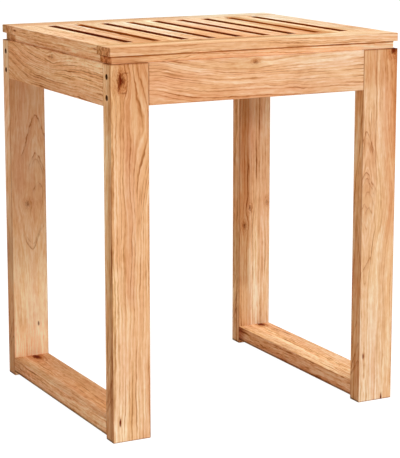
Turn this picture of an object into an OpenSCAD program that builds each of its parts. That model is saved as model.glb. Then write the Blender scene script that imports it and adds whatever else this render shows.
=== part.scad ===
// Wooden shower stool: slatted seat on two closed side frames, joined by
// a front and a rear apron. Millimetres, +Z up, +X to the right, the front
// looks along -Y. Origin: middle of the footprint, on the floor.

/* [Overall] */
// Width over the legs
stool_w = 376; // [340:1:420]
// Depth over the legs
stool_d = 320; // [290:1:360]
// Height of the seat surface
stool_h = 450; // [400:1:500]

/* [Boards] */
// Width of the leg and lower rail boards
board_w = 47.5; // [42:0.5:54]
// Thickness of the leg, apron and lower rail boards
board_t = 19; // [18:0.5:22]
// Height of the aprons
apron_h = 47.5; // [46:0.5:60]
// Rounding of the long edges of the boards
edge_r = 1.1; // [0.6:0.1:1.6]
// Rounding of the edges at the end of a board
end_r = 0.5; // [0.3:0.1:0.8]

/* [Feet] */
// Gap between the floor and the lower rails
foot_gap = 5; // [3:0.5:10]
// Rounding around the bottom of each leg
foot_r = 1.6; // [0.8:0.1:2]

/* [Seat] */
// Thickness of the seat boards
seat_t = 18.5; // [17:0.5:22]
// Height of the lip over the shadow gap
lip_t = 9.8; // [8:0.2:11]
// How far the shadow gap is set in
gap_in = 4; // [2:0.5:6]
// Width of the front and rear seat rails
seat_rail_w = 34; // [30:1:40]
// Distance from slot to slot
slot_pitch = 35.5; // [32:0.5:37]
// Width of a drain slot
slot_w = 9.5; // [6:0.5:12]
// Distance from the seat's edge to the end of a slot
slot_end = 48; // [44:1:60]
// Length of the slats' tongues
tongue_l = 8; // [6:0.5:10]
// Thickness of the slats' tongues
tongue_t = 6; // [5:0.5:7]

/* [Frame screws] */
// Radius of the counterbore
bore_r = 3.2; // [3:0.1:4]
// Depth of the counterbore
bore_depth = 14; // [10:1:20]
// Length of a frame screw under its head
frame_screw_l = 60; // [50:1:70]
// Upper screw below the top of the leg
screw_drop_1 = 14; // [13:0.5:16]
// Lower screw below the top of the leg
screw_drop_2 = 37.3; // [35:0.5:39]

/* [Seat screws] */
// Depth of the counterbore in the bottom of the aprons
seat_bore_depth = 24; // [20:1:28]
// Length of a seat screw under its head
seat_screw_l = 35; // [32:1:36]

/* [Dowels] */
// Diameter of the lower rail dowels
dowel_d = 8; // [6:0.5:8]
// Diameter of the side apron dowels
apron_dowel_d = 6; // [5:0.5:6]
// Length of every dowel
dowel_l = 36; // [30:1:40]
// Depth of the dowel holes in the legs
dowel_in_leg = 13; // [10:1:14]

/* [Hidden] */
$fn = 48;

x_out = stool_w / 2;              // outer faces of the side frames
y_out = stool_d / 2;              // front and rear faces
leg_h = stool_h - seat_t;         // top of the legs and aprons
apron_z = leg_h - apron_h;        // underside of the aprons
gap_z = stool_h - lip_t;          // underside of the lip
x_in = x_out - board_w;           // inner edges of the legs
y_in = y_out - board_t;           // inner faces of the legs
slat_y = y_out - seat_rail_w;     // shoulders of the slats
slot_y = y_out - slot_end;        // ends of the slots
slots = 9;
slats = slots - 1;
slot_x0 = -slot_pitch * (slots - 1) / 2;
tongue_z = leg_h + seat_t / 2;    // middle of the tongues
tongue_side = 3;                  // shoulder beside each tongue
groove_stop = 10;                 // groove ends this far inside the seat's side
fit = 0.1;                        // glue space around tongues
glue = 0.05;                      // radial glue space of a dowel or thread
frame_head_r = bore_r - 0.15;
frame_head_h = 5;
frame_shank_r = 2.4;
seat_head_r = 3.9;
seat_head_h = 3;
seat_shank_r = 2;
seat_bore_r = 4.2;
seat_screw_x = 90;                // seat screws in the front and rear aprons
screw_z = [leg_h - screw_drop_1, leg_h - screw_drop_2];
screw_y = y_out - board_t / 2;
apron_dowel_z = [leg_h - (screw_drop_1 + screw_drop_2) / 2, leg_h - 6];
apron_dowel_x = x_out - board_t / 2;
rail_dowel_x = [x_out - 12, x_out - board_w + 12];
rail_z = foot_gap + board_t / 2;

// ---- outlines ----

function unit(v) = v / norm(v);
// Polygon p with each corner rounded to the radius in r, three facets each.
function rounded(p, r, n = 3) = [
    for (i = [0 : len(p) - 1])
        let (a = p[(i + len(p) - 1) % len(p)], b = p[i], c = p[(i + 1) % len(p)])
        each (r[i] == 0 ? [b] :
            let (u = unit(a - b), v = unit(c - b),
                 half = acos(u * v) / 2,
                 t1 = b + u * r[i] / tan(half), t2 = b + v * r[i] / tan(half),
                 m = b + unit(u + v) * r[i] / sin(half),
                 turn = 180 - 2 * half)
            [for (k = [0 : n])
                m + ((t1 - m) * sin(turn * (1 - k / n)) + (t2 - m) * sin(turn * k / n)) / sin(turn)])
];
function box2(a, b) = [[a[0], a[1]], [b[0], a[1]], [b[0], b[1]], [a[0], b[1]]];

// ---- extrusions along each axis ----

module along_x(p, a, b) { translate([a, 0, 0]) rotate([90, 0, 90]) linear_extrude(b - a) polygon(p); }
module along_y(p, a, b) { translate([0, b, 0]) rotate([90, 0, 0]) linear_extrude(b - a) polygon(p); }
module along_z(p, a, b) { translate([0, 0, a]) linear_extrude(b - a) polygon(p); }

// A board between two corners; rx, ry, rz round the edges that run along X, Y, Z.
module board(a, b, rx, ry, rz) {
    intersection() {
        along_x(rounded(box2([a[1], a[2]], [b[1], b[2]]), rx), a[0], b[0]);
        along_y(rounded(box2([a[0], a[2]], [b[0], b[2]]), ry), a[1], b[1]);
        along_z(rounded(box2([a[0], a[1]], [b[0], b[1]]), rz), a[2], b[2]);
    }
}
function all4(r) = [r, r, r, r];

// ---- holes ----

module hole_x(r, x, l, y, z) { translate([x, y, z]) rotate([0, 90, 0]) cylinder(r = r, h = l); }
module hole_y(r, x, y, l, z) { translate([x, y, z]) rotate([-90, 0, 0]) cylinder(r = r, h = l); }
module hole_z(r, x, y, z, l) { translate([x, y, z]) cylinder(r = r, h = l); }

// ---- side frames; written for the left front, mirrored for the rest ----

module leg() {
    difference() {
        board([-x_out, -y_out, 0], [-x_in, -y_in, leg_h],
              [foot_r, foot_r, end_r, end_r], [foot_r, foot_r, end_r, end_r], all4(edge_r));
        for (z = screw_z) {
            hole_x(bore_r, -x_out - 1, bore_depth + 1, -screw_y, z);
            hole_x(frame_shank_r + 0.2, -x_out, board_w + 1, -screw_y, z);
            translate([-x_out - 0.01, -screw_y, z]) rotate([0, 90, 0])
                cylinder(r1 = bore_r + 0.45, r2 = bore_r, h = 0.45);
        }
        for (z = apron_dowel_z)
            hole_y(apron_dowel_d / 2, -apron_dowel_x, -y_in - dowel_in_leg, dowel_in_leg + 1, z);
        for (x = rail_dowel_x)
            hole_y(dowel_d / 2, -x, -y_in - dowel_in_leg, dowel_in_leg + 1, rail_z);
    }
}
module leg_at(sx, sy) { color("#DFA873") mirror([sx, 0, 0]) mirror([0, sy, 0]) leg(); }

module lower_rail() {
    deep = dowel_l - dowel_in_leg + 1;
    difference() {
        board([-x_out, -y_in, foot_gap], [-x_in, y_in, foot_gap + board_t],
              all4(end_r), all4(edge_r), all4(end_r));
        for (x = rail_dowel_x, s = [-1, 1])
            hole_y(dowel_d / 2, -x, s > 0 ? y_in - deep : -y_in - 1, deep + 1, rail_z);
    }
}
module lower_rail_at(sx) { color("#D79D68") mirror([sx, 0, 0]) lower_rail(); }

module side_apron() {
    deep = dowel_l - dowel_in_leg + 1;
    difference() {
        board([-x_out, -y_in, apron_z], [-x_out + board_t, y_in, leg_h],
              all4(end_r), all4(edge_r), all4(end_r));
        for (z = apron_dowel_z, s = [-1, 1])
            hole_y(apron_dowel_d / 2, -apron_dowel_x, s > 0 ? y_in - deep : -y_in - 1, deep + 1, z);
        hole_z(seat_bore_r, -apron_dowel_x, 0, apron_z - 1, seat_bore_depth + 1);
        hole_z(seat_shank_r + 0.2, -apron_dowel_x, 0, apron_z, apron_h + 1);
    }
}
module side_apron_at(sx) { color("#D29A66") mirror([sx, 0, 0]) side_apron(); }

// ---- front and rear aprons ----

module long_apron() {
    deep = bore_depth + frame_screw_l - board_w + 1;
    difference() {
        board([-x_in, -y_out, apron_z], [x_in, -y_in, leg_h],
              all4(edge_r), all4(end_r), all4(end_r));
        for (z = screw_z, s = [-1, 1])
            hole_x(frame_shank_r + glue, s > 0 ? x_in - deep : -x_in - 1, deep + 1, -screw_y, z);
        for (x = [-seat_screw_x, seat_screw_x]) {
            hole_z(seat_bore_r, x, -screw_y, apron_z - 1, seat_bore_depth + 1);
            hole_z(seat_shank_r + 0.2, x, -screw_y, apron_z, apron_h + 1);
        }
    }
}
module long_apron_at(sy) { color("#E3B07C") mirror([0, sy, 0]) long_apron(); }

// ---- seat ----

// Outline of a seat board's end: lip over shadow gap on the low side, plain on the high side.
function lip_outline(lo, hi) = rounded(
    [[lo, gap_z], [lo + gap_in, gap_z], [lo + gap_in, leg_h], [hi, leg_h], [hi, stool_h], [lo, stool_h]],
    [0.6, 0, 0.4, 0.3, end_r, edge_r]);
// The same with a lip at both ends.
function lip_outline_2(lo, hi) = rounded(
    [[lo, gap_z], [lo + gap_in, gap_z], [lo + gap_in, leg_h], [hi - gap_in, leg_h],
     [hi - gap_in, gap_z], [hi, gap_z], [hi, stool_h], [lo, stool_h]],
    [0.6, 0, 0.4, 0.4, 0, 0.6, edge_r, edge_r]);

// Pilot hole for a seat screw, from below.
module seat_pilot(x, y) {
    hole_z(seat_shank_r + glue, x, y, leg_h - 1, seat_screw_l - (apron_h - seat_bore_depth) + 2);
}

module seat_rail() {
    difference() {
        intersection() {
            along_x(lip_outline(-y_out, -slat_y), -x_out, x_out);
            along_y(lip_outline_2(-x_out, x_out), -y_out, -slat_y);
            along_z(rounded(box2([-x_out, -y_out], [x_out, -slat_y]), [edge_r, edge_r, 0.3, 0.3]),
                    leg_h, stool_h);
        }
        // stopped groove for the slats' tongues
        translate([-x_out + groove_stop, -slat_y - tongue_l - 0.5, tongue_z - tongue_t / 2 - fit])
            cube([stool_w - 2 * groove_stop, tongue_l + 1.5, tongue_t + 2 * fit]);
        for (x = [-seat_screw_x, seat_screw_x]) seat_pilot(x, -screw_y);
    }
}
module seat_rail_at(sy) { color("#EBBD8B") mirror([0, sy, 0]) seat_rail(); }

// Outline of a slot that flares to rounded edges at the top and the bottom.
function flare(h) = let (r = 0.9, n = 3, s = slot_w) [
    for (k = [0 : n]) [h + r * (1 - cos(90 * k / n)), stool_h - r + r * sin(90 * k / n)],
    [h + r, stool_h + 1], [-h - r, stool_h + 1],
    for (k = [n : -1 : 0]) [-h - r * (1 - cos(90 * k / n)), stool_h - r + r * sin(90 * k / n)],
    for (k = [0 : n]) [-h - r * (1 - cos(90 * k / n)), leg_h + r - r * sin(90 * k / n)],
    [-h - r, leg_h - 1], [h + r, leg_h - 1],
    for (k = [n : -1 : 0]) [h + r * (1 - cos(90 * k / n)), leg_h + r - r * sin(90 * k / n)]
];
module slot_cut(x) {
    translate([x, 0, 0]) intersection() {
        along_y(flare(slot_w / 2), -slot_y - 2, slot_y + 2);
        along_x(flare(slot_y), -slot_w / 2 - 2, slot_w / 2 + 2);
    }
}
module tongues(x0, x1) {
    for (s = [-1, 1])
        translate([x0, s > 0 ? slat_y - 1 : -slat_y - tongue_l, tongue_z - tongue_t / 2])
            cube([x1 - x0, tongue_l + 1, tongue_t]);
}

module seat_slat(i) {
    x = slot_x0 + slot_pitch * (i - 0.5);
    color("#F0C595") {
        difference() {
            board([x - slot_pitch / 2, -slat_y, leg_h], [x + slot_pitch / 2, slat_y, stool_h],
                  all4(0.4), all4(0.4), all4(0));
            slot_cut(x - slot_pitch / 2);
            slot_cut(x + slot_pitch / 2);
        }
        tongues(x - slot_pitch / 2 + tongue_side, x + slot_pitch / 2 - tongue_side);
    }
}

module seat_end_slat() {
    difference() {
        intersection() {
            along_y(lip_outline(-x_out, slot_x0), -slat_y, slat_y);
            along_x(rounded(box2([-slat_y, leg_h], [slat_y, stool_h]), all4(0.4)), -x_out, slot_x0);
        }
        slot_cut(slot_x0);
        seat_pilot(-apron_dowel_x, 0);
    }
    tongues(-x_out + groove_stop + 2, slot_x0 - tongue_side);
}
module seat_end_slat_at(sx) { color("#EFC292") mirror([sx, 0, 0]) seat_end_slat(); }

// ---- hardware ----

// Screw along +Z, the underside of its head at z = 0, with a hexagon socket.
module socket_screw(head_r, head_h, shank_r, l, key_r) {
    difference() {
        union() {
            translate([0, 0, -head_h]) cylinder(r = head_r, h = head_h);
            cylinder(r = shank_r, h = l - 5);
            translate([0, 0, l - 5]) cylinder(r1 = shank_r, r2 = 0.6, h = 5);
        }
        translate([0, 0, -head_h - 1]) cylinder(r = key_r, h = head_h - 0.6, $fn = 6);
    }
}

module frame_screws() {
    color("silver")
    for (sx = [0, 1], sy = [0, 1], z = screw_z)
        mirror([sx, 0, 0]) mirror([0, sy, 0])
            translate([-x_out + bore_depth, -screw_y, z]) rotate([0, 90, 0])
                socket_screw(frame_head_r, frame_head_h, frame_shank_r, frame_screw_l, 2.3);
}

module seat_screws() {
    color("silver") {
        for (x = [-seat_screw_x, seat_screw_x], y = [-screw_y, screw_y])
            translate([x, y, apron_z + seat_bore_depth])
                socket_screw(seat_head_r, seat_head_h, seat_shank_r, seat_screw_l, 2.3);
        for (x = [-apron_dowel_x, apron_dowel_x])
            translate([x, 0, apron_z + seat_bore_depth])
                socket_screw(seat_head_r, seat_head_h, seat_shank_r, seat_screw_l, 2.3);
    }
}

// Dowel along +Y with chamfered ends, lying on the floor of its hole in the leg.
module dowel(r) {
    rotate([-90, 0, 0]) {
        cylinder(r1 = r - 0.8, r2 = r, h = 0.8);
        translate([0, 0, 0.8]) cylinder(r = r, h = dowel_l - 1.6);
        translate([0, 0, dowel_l - 0.8]) cylinder(r1 = r, r2 = r - 0.8, h = 0.8);
    }
}

module lower_rail_dowels() {
    color("#D9B183")
    for (sx = [0, 1], sy = [0, 1], x = rail_dowel_x)
        mirror([sx, 0, 0]) mirror([0, sy, 0])
            translate([-x, -y_in - dowel_in_leg, rail_z]) dowel(dowel_d / 2 - glue);
}

module side_apron_dowels() {
    color("#D9B183")
    for (sx = [0, 1], sy = [0, 1], z = apron_dowel_z)
        mirror([sx, 0, 0]) mirror([0, sy, 0])
            translate([-apron_dowel_x, -y_in - dowel_in_leg, z]) dowel(apron_dowel_d / 2 - glue);
}

// ---- the stool ----

leg_at(0, 0);  // leg_front_left
leg_at(1, 0);  // leg_front_right
leg_at(0, 1);  // leg_rear_left
leg_at(1, 1);  // leg_rear_right
lower_rail_at(0);  // lower_rail_left
lower_rail_at(1);  // lower_rail_right
side_apron_at(0);  // apron_left
side_apron_at(1);  // apron_right
long_apron_at(0);  // apron_front
long_apron_at(1);  // apron_rear
seat_rail_at(0);  // seat_rail_front
seat_rail_at(1);  // seat_rail_rear
seat_end_slat_at(0);  // seat_end_slat_left
seat_end_slat_at(1);  // seat_end_slat_right
seat_slat(1);  // seat_slat_1
seat_slat(2);  // seat_slat_2
seat_slat(3);  // seat_slat_3
seat_slat(4);  // seat_slat_4
seat_slat(5);  // seat_slat_5
seat_slat(6);  // seat_slat_6
seat_slat(7);  // seat_slat_7
seat_slat(8);  // seat_slat_8
frame_screws();
seat_screws();
lower_rail_dowels();
side_apron_dowels();
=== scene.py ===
import math

import bpy
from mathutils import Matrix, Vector


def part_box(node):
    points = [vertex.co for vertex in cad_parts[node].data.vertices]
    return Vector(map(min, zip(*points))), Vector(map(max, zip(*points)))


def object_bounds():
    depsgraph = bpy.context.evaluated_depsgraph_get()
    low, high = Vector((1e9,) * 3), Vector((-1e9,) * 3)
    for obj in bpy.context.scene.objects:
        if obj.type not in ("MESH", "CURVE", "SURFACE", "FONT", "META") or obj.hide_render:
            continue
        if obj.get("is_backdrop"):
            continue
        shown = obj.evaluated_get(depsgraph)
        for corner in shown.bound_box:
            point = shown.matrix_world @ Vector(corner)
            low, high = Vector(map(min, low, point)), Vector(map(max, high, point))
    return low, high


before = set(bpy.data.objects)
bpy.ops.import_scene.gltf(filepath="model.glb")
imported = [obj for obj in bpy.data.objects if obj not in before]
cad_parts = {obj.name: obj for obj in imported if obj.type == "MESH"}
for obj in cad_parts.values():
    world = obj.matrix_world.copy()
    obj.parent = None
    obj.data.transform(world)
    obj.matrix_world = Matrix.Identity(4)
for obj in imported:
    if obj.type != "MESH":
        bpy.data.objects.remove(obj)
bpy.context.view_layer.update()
scene = bpy.context.scene
MM = 0.001


# ---------------------------------------------------------------- node graph helper

class Graph:
    """Short calls that build a material's node tree. Values are sockets or plain numbers."""

    def __init__(self, name):
        self.mat = bpy.data.materials.new(name)
        self.mat.use_nodes = True
        self.tree = self.mat.node_tree
        self.tree.nodes.clear()

    def node(self, kind, **props):
        n = self.tree.nodes.new(kind)
        for key, value in props.items():
            setattr(n, key, value)
        return n

    def feed(self, socket, value):
        if isinstance(value, bpy.types.NodeSocket):
            self.tree.links.new(value, socket)
        elif isinstance(value, (tuple, list)) and len(value) == 3 and socket.type == "RGBA":
            socket.default_value = (*value, 1.0)
        else:
            socket.default_value = value

    def math(self, op, a, b=None, c=None, clamp=False):
        n = self.node("ShaderNodeMath", operation=op, use_clamp=clamp)
        for i, v in enumerate((a, b, c)):
            if v is not None:
                self.feed(n.inputs[i], v)
        return n.outputs[0]

    def add(self, a, b): return self.math("ADD", a, b)
    def sub(self, a, b): return self.math("SUBTRACT", a, b)
    def mul(self, a, b): return self.math("MULTIPLY", a, b)
    def mad(self, a, b, c): return self.math("MULTIPLY_ADD", a, b, c)

    def vec(self, x, y, z):
        n = self.node("ShaderNodeCombineXYZ")
        for i, v in enumerate((x, y, z)):
            self.feed(n.inputs[i], v)
        return n.outputs[0]

    def split(self, v):
        n = self.node("ShaderNodeSeparateXYZ")
        self.feed(n.inputs[0], v)
        return n.outputs[0], n.outputs[1], n.outputs[2]

    def noise(self, v, detail=2.0, rough=0.5, scale=1.0, colour=False):
        n = self.node("ShaderNodeTexNoise", noise_dimensions="3D")
        self.feed(n.inputs["Vector"], v)
        n.inputs["Scale"].default_value = scale
        n.inputs["Detail"].default_value = detail
        n.inputs["Roughness"].default_value = rough
        return n.outputs["Color" if colour else "Fac"]

    def fit(self, v, a, b, c=0.0, d=1.0, smooth=False):
        n = self.node("ShaderNodeMapRange", interpolation_type="SMOOTHSTEP" if smooth else "LINEAR", clamp=True)
        for i, x in enumerate((v, a, b, c, d)):
            self.feed(n.inputs[i], x)
        return n.outputs[0]

    def ramp(self, v, stops, ease="LINEAR"):
        n = self.node("ShaderNodeValToRGB")
        self.feed(n.inputs[0], v)
        r = n.color_ramp
        r.interpolation = ease
        while len(r.elements) < len(stops):
            r.elements.new(0.5)
        for e, (pos, col) in zip(r.elements, sorted(stops)):
            e.position = pos
            e.color = (*col, 1.0) if isinstance(col, (tuple, list)) else (col, col, col, 1.0)
        return n.outputs[0]

    def mix(self, f, a, b, blend="MIX"):
        n = self.node("ShaderNodeMix", data_type="RGBA", blend_type=blend)
        for key, v in ((0, f), (6, a), (7, b)):
            self.feed(n.inputs[key], v)
        return n.outputs[2]


# ---------------------------------------------------------------- wood

# Linear colours of the fibre, from the dark line of a ring to its palest part.
TAN = [(0.00, (0.330, 0.110, 0.032)), (0.22, (0.520, 0.222, 0.082)), (0.45, (0.710, 0.355, 0.163)),
       (0.68, (0.815, 0.467, 0.251)), (0.86, (0.858, 0.555, 0.338)), (1.00, (0.905, 0.655, 0.434))]
AXES = {"X": (0, 2, 1), "Y": (1, 2, 0), "Z": (2, 0, 1), "XF": (0, 1, 2), "YF": (1, 0, 2)}


def wood(name, axis, seed, pith=(-70.0, 45.0), spacing=3.2, tilt=0.0, wave=(4.0, 1.3, 0.35),
         knots=(), bumps=(), marks=(), zones=(), tone=(1.0, 1.0, 1.0), contrast=1.0, rings=1.0,
         centre=(0.0, 0.0, 0.0), end=(0.66, 0.50, 0.40), stain=None, holes=(), stretch=1.0, floor=0.0,
         side_tone=(1.0, 1.0, 1.0), side_streak=0.0, rare=0.0, end_zones=(), side_zones=(), bands=(), mottled=1.0,
         half=None, edge=0.5, strokes=(), end_blot=(0.70, 0.52, 0.40), end_mottle=1.0, crisp=(1.0, 1.0)):
    """Solid wood that runs through the whole board. All lengths are in millimetres of the row frame.
    axis: the grain's direction and which two axes are the board's face and thickness.
    pith: where the rings' middle lies, from the board's own middle, across the face and through it.
    knots: (along, across, long radius, short radius, darkness, reach); the grain runs round each.
    bumps: (along, across, long radius, short radius, height); a rise in the rings, seen as nested arcs.
    marks: (along, across, long radius, short radius, darkness[, through, its radius]); zones: (letter, from, to,
    colour).
    side_tone, side_streak: colour and extra streaks of the narrow faces.
    rare: how few of the rings are dark; end_zones, side_zones: as zones, on the end grain or the narrow faces alone.
    bands: (letter, from, to, softness, colour[, along from, along to]), a stripe of colour; letter E is
    across the wide faces alone. mottled: how blotchy. half, edge: half sizes, and how dark the painted shade on the
    eased edges is.
    strokes: single rings cut at a slant: (A on the wide or B on the narrow faces, along and across of the tip,
    slope, roundness of the tip, width, darkness, reach before and after the tip); below nought they are pale.
    crisp: how strong the single fibres are on the wide and on the narrow faces."""
    g = Graph(name)
    tc = g.node("ShaderNodeTexCoord")
    n = g.node("ShaderNodeVectorMath", operation="SCALE")
    g.feed(n.inputs[0], tc.outputs["Object"])
    n.inputs["Scale"].default_value = 1000.0
    xyz = g.split(n.outputs[0])
    normal = g.split(tc.outputs["Normal"])
    il, ia, ib = AXES[axis]
    L, A, B = xyz[il], xyz[ia], xyz[ib]
    s = seed * 37.13

    # the fibres part round each knot, and are wavier beside it
    near, pulls, calm = [], [], 1.0
    for along, across, rl, ra, dark, reach in knots:
        dl, da = g.mul(g.sub(L, along), 1 / rl), g.mul(g.sub(A, across), 1 / ra)
        d2 = g.add(g.mul(dl, dl), g.mul(da, da))
        pulls.append((across, g.math("POWER", 2.71828, g.mul(d2, -1 / reach ** 2))))
        calm = g.add(calm, g.mul(g.math("POWER", 2.71828, g.mul(d2, -0.25 / reach ** 2)), 1.1 * dark))
        near.append((g.math("SQRT", d2), dark))

    # the fibres wander
    slow = g.noise(g.vec(g.mad(L, 1 / 95, s), g.mad(A, 1 / 48, s), g.mad(B, 1 / 48, -s)), 1.5, 0.45, colour=True)
    quick = g.noise(g.vec(g.mad(L, 1 / 21, -s), g.mad(A, 1 / 11, s), g.mad(B, 1 / 11, s)), 2.0, 0.5, colour=True)
    fine = g.noise(g.vec(g.mad(L, 1 / 7.5, s), g.mad(A, 1 / 4.2, s), g.mad(B, 1 / 4.2, s)), 1.0, 0.5, colour=True)
    wa, wb = A, B
    for field, amp, local in ((slow, wave[0], 1.0), (quick, wave[1], calm), (fine, wave[2], calm)):
        x, y, _ = g.split(field)
        wa = g.add(wa, g.mul(g.mul(g.sub(x, 0.5), 2 * amp), local))
        wb = g.add(wb, g.mul(g.mul(g.sub(y, 0.5), 2 * amp), local))
    for across, pull in pulls:
        wa = g.sub(wa, g.mul(g.mul(g.sub(A, across), pull), 0.84))

    a = g.sub(wa, centre[ia] + pith[0])
    b = g.sub(wb, centre[ib] + pith[1])
    r = g.math("SQRT", g.add(g.mul(a, a), g.mul(b, b)))
    if tilt:
        r = g.mad(g.sub(L, centre[il]), tilt, r)
    for along, across, rl, ra, high in bumps:
        dl, da = g.mul(g.sub(L, along), 1 / rl), g.mul(g.sub(wa, across), 1 / ra)
        d2 = g.add(g.mul(dl, dl), g.mul(da, da))
        r = g.add(r, g.mul(g.math("POWER", 2.71828, g.mul(d2, -1.0)), high))

    # growth rings: each darkens slowly and ends in a sharp edge; no two are the same
    phase = g.mul(r, 1 / spacing)
    jitter = g.noise(g.vec(g.mul(phase, 0.55), s, g.mul(L, 1 / 500)), 2.0, 0.6)
    phase = g.mad(jitter, 2.4, phase)
    part = g.math("FRACT", phase)
    whole = g.math("FLOOR", phase)
    line = g.ramp(part, [(0.0, 0.48), (0.10, 0.0), (0.20, 0.06), (0.44, 0.26), (0.60, 0.22), (0.66, 0.30), (0.78, 0.88), (0.88, 1.0), (1.0, 0.48)])
    strength = g.noise(g.vec(g.mul(whole, 0.73), g.mul(L, 1 / (80 * stretch)), s), 2.0, 0.55)
    strength = g.fit(strength, 0.36 + rare, 0.66, 0.08 + floor, 1.0)
    streak = g.noise(g.vec(g.mul(phase, 0.80), g.mul(L, 1 / (105 * stretch)), g.mad(B, 1 / 120, s)), 4.0, 0.58)
    thread = g.noise(g.vec(g.mul(phase, 2.2), g.mul(L, 1 / (80 * stretch)), -s), 2.0, 0.55)
    broad = g.noise(g.vec(g.mul(phase, 0.22), g.mul(L, 1 / (220 * stretch)), -s), 2.0, 0.5)
    fibre = g.noise(g.vec(g.mul(L, 1 / 30), g.mul(wa, 1 / 1.9), g.mul(wb, 1 / 1.9)), 3.0, 0.60)
    flake = g.noise(g.vec(g.mul(L, 1 / 10), g.mul(wa, 1 / 3.4), g.mul(wb, 1 / 3.4)), 2.0, 0.6)
    mottle = g.noise(g.vec(g.mad(L, 1 / 8.0, s), g.mad(wa, 1 / 4.5, s), g.mul(wb, 1 / 4.5)), 1.0, 0.5)
    # a second set of thinner lines that come and go along the board
    count = g.add(g.mul(phase, 1.37), g.mul(g.noise(g.vec(g.mul(phase, 0.8), s + 9.0, g.mul(L, 1 / 260)), 2.0, 0.6), 1.8))
    hair = g.ramp(g.math("FRACT", count), [(0.0, 0.0), (0.50, 0.0), (0.74, 1.0), (0.88, 1.0), (1.0, 0.0)])
    faint = g.noise(g.vec(g.mul(g.math("FLOOR", count), 0.61), g.mul(L, 1 / (62 * stretch)), s), 2.0, 0.55)
    hair = g.mul(hair, g.fit(faint, 0.40, 0.60, 0.0, 1.0))
    pore = g.noise(g.vec(g.mul(L, 1 / 5.0), g.mul(A, 1 / 0.30), g.mul(B, 1 / 0.30)), 1.0, 0.4)
    pore = g.fit(pore, 0.60, 0.76, 0.0, 1.0, smooth=True)

    tval = g.add(0.81, g.mul(g.mul(line, strength), -0.60 * contrast * rings))
    tval = g.add(tval, g.mul(hair, -0.17 * contrast))
    tval = g.add(tval, g.mul(g.sub(streak, 0.5), 0.80 * contrast))
    tval = g.add(tval, g.mul(g.sub(thread, 0.5), 0.45 * contrast))
    tval = g.add(tval, g.mul(g.sub(broad, 0.5), 0.60 * contrast))
    tval = g.add(tval, g.mul(g.sub(flake, 0.5), 0.36 * contrast))
    tval = g.add(tval, g.mul(g.sub(mottle, 0.5), 0.16 * contrast * mottled))
    side = g.fit(g.math("ABSOLUTE", normal[ia]), 0.6, 0.8, 0.0, 1.0)
    tval = g.add(tval, g.mul(g.mul(g.sub(fibre, 0.5), 0.70 * contrast), g.mad(side, crisp[1] - crisp[0], crisp[0])))
    if side_streak:
        belt = g.noise(g.vec(g.mad(L, 1 / 75, s), g.mad(g.mad(L, 0.05, B), 1 / 5.0, s), 0.0), 3.0, 0.6)
        tval = g.add(tval, g.mul(g.mul(g.sub(belt, 0.5), side), side_streak))
    tval = g.add(tval, g.mul(g.mul(pore, g.mad(line, 0.6, 0.4)), -0.10))
    colour = g.ramp(tval, TAN)

    # large soft changes of hue, pinker here and yellower there
    hue = g.noise(g.vec(g.mad(L, 1 / 150, s), g.mad(wa, 1 / 17, -s), g.mad(wb, 1 / 17, s)), 2.0, 0.55)
    colour = g.mix(g.fit(hue, 0.30, 0.52, 0.75, 0.0), colour, (0.96, 0.86, 0.84), "MULTIPLY")
    colour = g.mix(g.fit(hue, 0.50, 0.72, 0.0, 0.60), colour, (1.0, 1.01, 0.90), "MULTIPLY")
    for letter, frm, to, col in zones:
        v = {"L": L, "A": wa, "B": wb}[letter]
        colour = g.mix(g.fit(v, frm, to, 0.0, 1.0, smooth=True), colour, col, "MULTIPLY")
    for letter, frm, to, soft, col, *part_of in bands:
        v = g.mad(side, 500.0, A) if letter == "E" else {"L": L, "A": wa, "B": B}[letter]
        cover = g.mul(g.fit(v, frm - soft / 2, frm + soft / 2, 0.0, 1.0), g.fit(v, to - soft / 2, to + soft / 2, 1.0, 0.0))
        if part_of:
            cover = g.mul(cover, g.mul(g.fit(L, part_of[0] - 12, part_of[0] + 12, 0.0, 1.0, smooth=True),
                                       g.fit(L, part_of[1] - 12, part_of[1] + 12, 1.0, 0.0, smooth=True)))
        colour = g.mix(cover, colour, col, "MULTIPLY")

    if strokes:
        shake = g.split(g.noise(g.vec(g.mad(L, 1 / 6.5, s), g.mad(A, 1 / 3.2, s), g.mad(B, 1 / 3.2, -s)), 2.0, 0.6, colour=True))
        broken = g.noise(g.vec(g.mad(L, 1 / 12.0, -s), g.mad(A, 1 / 6.0, s), g.mad(B, 1 / 6.0, s)), 1.0, 0.5)
        broken = g.fit(broken, 0.38, 0.58, 0.25, 1.0)
    for letter, along, across, slope, turn, wide, dark, before, after in strokes:
        # sharp on the outer side of the bend, soft on the inner one
        v = g.add(g.sub(wa if letter == "A" else wb, across), g.mul(g.sub(shake[0], 0.5), 3.2))
        bend = g.math("SQRT", g.mad(v, v, turn ** 2))
        lean = g.math("DIVIDE", v, bend)
        off = g.sub(g.mad(g.sub(shake[1], 0.5), 5.0, L), g.mad(bend, -slope, along + slope * turn))
        off = g.math("DIVIDE", g.mul(off, 1.0 if slope > 0 else -1.0), g.math("SQRT", g.mad(g.mul(lean, lean), slope ** 2, 1.0)))
        cover = g.mul(g.fit(off, -4.5, 0.0, 0.0, 0.34), g.fit(off, 0.0, wide, 1.0, 0.0))
        cover = g.math("MAXIMUM", cover, g.fit(g.math("ABSOLUTE", off), 0.2 * wide, 1.25 * wide, 1.0, 0.0))
        cover = g.mul(cover, g.mul(g.fit(v, -before - 3.0, 1.0 - before, 0.0, 1.0), g.fit(v, after - 1.0, after + 3.0, 1.0, 0.0)))
        cover = g.mul(g.mul(cover, broken), side if letter == "B" else g.sub(1.0, side))
        colour = g.mix(g.mul(cover, abs(dark)), colour, (0.56, 0.34, 0.19) if dark > 0 else (1.16, 1.24, 1.28), "MULTIPLY")

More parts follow.
